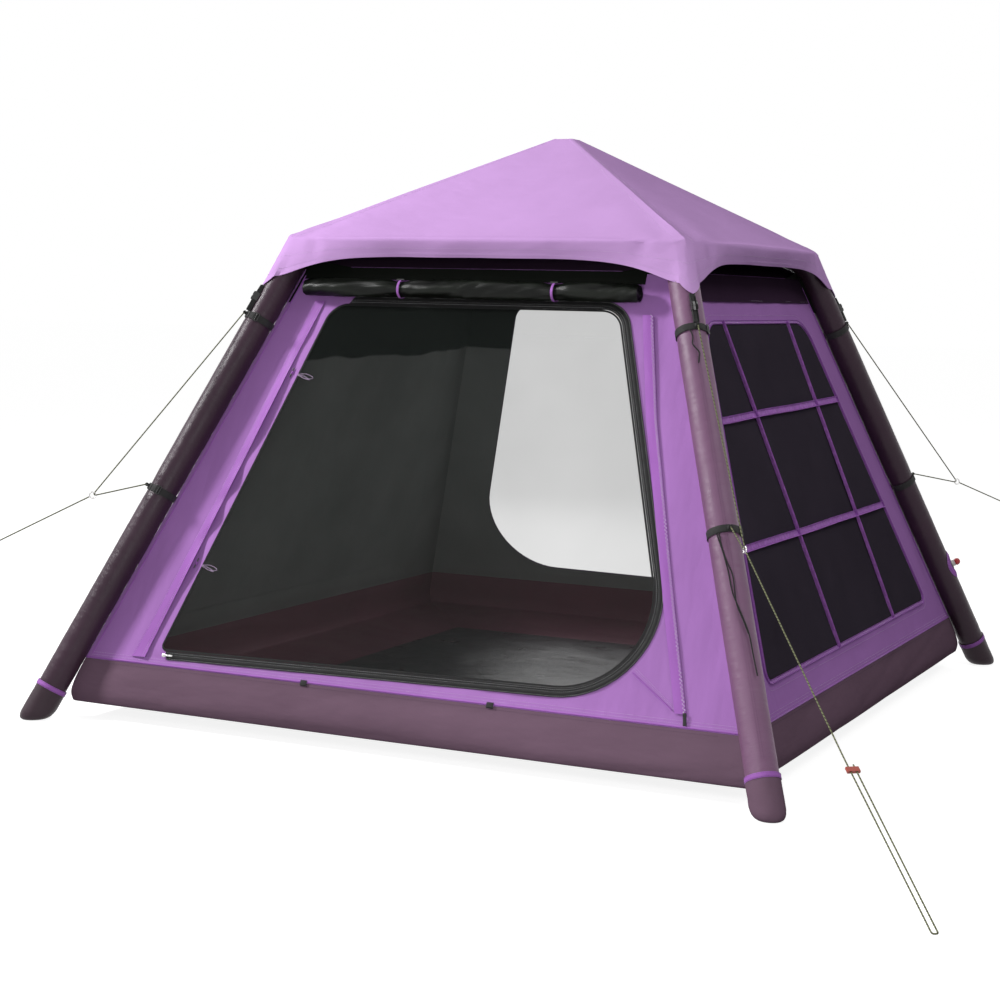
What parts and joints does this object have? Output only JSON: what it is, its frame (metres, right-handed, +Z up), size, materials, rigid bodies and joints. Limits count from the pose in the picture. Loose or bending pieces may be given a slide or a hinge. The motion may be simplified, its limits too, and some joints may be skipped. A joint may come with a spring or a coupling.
{
  "type": "inflatable tent",
  "caption": "Pyramid cabin tent carried by inflated corner beams, with a folded roof fly, a hinged mesh door, side windows and guy lines.",
  "frame": {"origin": "on the floor under the roof hub, midway between the four feet", "axes": "+Z up, -Y out of the front doorway, +X towards the right window, whose back leg has the valve"},
  "size_m": [3.128, 3.4449, 1.876],
  "materials": {
    "plum_cloth": "satin woven cloth",
    "mauve_cloth": "satin coated cloth",
    "purple_cloth": "matte woven cloth",
    "lilac_fly": "satin coated cloth",
    "black_cloth": "satin woven cloth",
    "black_mesh": "fine insect mesh",
    "dark_webbing": "woven webbing",
    "clear_film": "clear film",
    "olive_line": "braided line",
    "steel": "polished",
    "orange_plastic": "moulded",
    "white_plastic": "moulded",
    "red_plastic": "moulded and glossy"
  },
  "bodies": {
    "tent": {"air_bladder": "clear_film", "apex_hub": "plum_cloth", "back_door_roll": "black_cloth", "back_mesh_roll": "black_mesh", "door_roll": "black_cloth", "door_tie_left": "purple_cloth", "door_tie_right": "purple_cloth", "door_zipper": "black_cloth", "foot_cap_back_left": "plum_cloth", "foot_cap_back_right": "plum_cloth", "foot_cap_front_left": "plum_cloth", "foot_cap_front_right": "plum_cloth", "groundsheet": "mauve_cloth", "guy_bridle_back_right": "olive_line", "guy_bridle_front_left": "olive_line", "guy_bridle_front_right": "olive_line", "guy_line_back_right": "olive_line", "guy_line_front_left": "olive_line", "guy_line_front_right": "olive_line", "guy_ring_back_right": "steel", "guy_ring_front_left": "steel", "guy_ring_front_right": "steel", "inner_roof": "plum_cloth", "leg_strap_lower_back_left": "dark_webbing", "leg_strap_lower_back_right": "dark_webbing", "leg_strap_lower_front_left": "dark_webbing", "leg_strap_lower_front_right": "dark_webbing", "leg_strap_upper_back_left": "dark_webbing", "leg_strap_upper_back_right": "dark_webbing", "leg_strap_upper_front_left": "dark_webbing", "leg_strap_upper_front_right": "dark_webbing", "skirt_back": "mauve_cloth", "skirt_front": "mauve_cloth", "skirt_left": "mauve_cloth", "skirt_right": "mauve_cloth", "sleeve_back_left": "plum_cloth", "sleeve_back_right": "plum_cloth", "sleeve_front_left": "plum_cloth", "sleeve_front_right": "plum_cloth", "valve_body": "white_plastic", "wall_back": "purple_cloth", "wall_front": "purple_cloth", "wall_left": "purple_cloth", "wall_right": "purple_cloth", "window_grid_left": "purple_cloth", "window_grid_right": "purple_cloth", "window_mesh_left": "black_mesh", "window_mesh_right": "black_mesh"},
    "fly": {"roof_fly": "lilac_fly", "fly_corner_strap_front_left": "dark_webbing", "fly_corner_strap_front_right": "dark_webbing", "fly_corner_strap_back_left": "dark_webbing", "fly_corner_strap_back_right": "dark_webbing"},
    "mesh_door": {"door_mesh": "black_mesh"},
    "zip_pull": {"zip_slider": "steel"},
    "upper_toggle": {"door_toggle_upper": "dark_webbing"},
    "lower_toggle": {"door_toggle_lower": "dark_webbing"},
    "line_runner": {"guy_runner": "orange_plastic"},
    "valve_lid": {"valve_cap": "red_plastic"}
  },
  "joints": [
    {"name": "fly_lift", "type": "slide", "parent": "tent", "child": "fly", "axis": [0, 0, 1], "range_m": [0, 0.5]},
    {"name": "mesh_door_hinge", "type": "hinge", "parent": "tent", "child": "mesh_door", "pos_m": [-0.829, -1.16207, 0.228], "axis": [0.264, 0.3939, 0.8804], "range_deg": [-95, 0]},
    {"name": "zip_run", "type": "slide", "parent": "tent", "child": "zip_pull", "axis": [0.9998, 0.0072, 0.016], "range_m": [0, 1.2]},
    {"name": "upper_toggle_flip", "type": "hinge", "parent": "tent", "child": "upper_toggle", "pos_m": [-0.58548, -0.77708, 1.08837], "axis": [0.264, 0.3939, 0.8804], "range_deg": [0, 90]},
    {"name": "lower_toggle_flip", "type": "hinge", "parent": "tent", "child": "lower_toggle", "pos_m": [-0.76423, -1.04377, 0.49237], "axis": [0.264, 0.3939, 0.8804], "range_deg": [0, 90]},
    {"name": "runner_slide", "type": "slide", "parent": "tent", "child": "line_runner", "axis": [0.5553, -0.6825, -0.4753], "range_m": [0, 0.25]},
    {"name": "valve_cap_pull", "type": "slide", "parent": "tent", "child": "valve_lid", "axis": [0.8504, 0.2857, 0.4417], "range_m": [0, 0.05]}
  ]
}
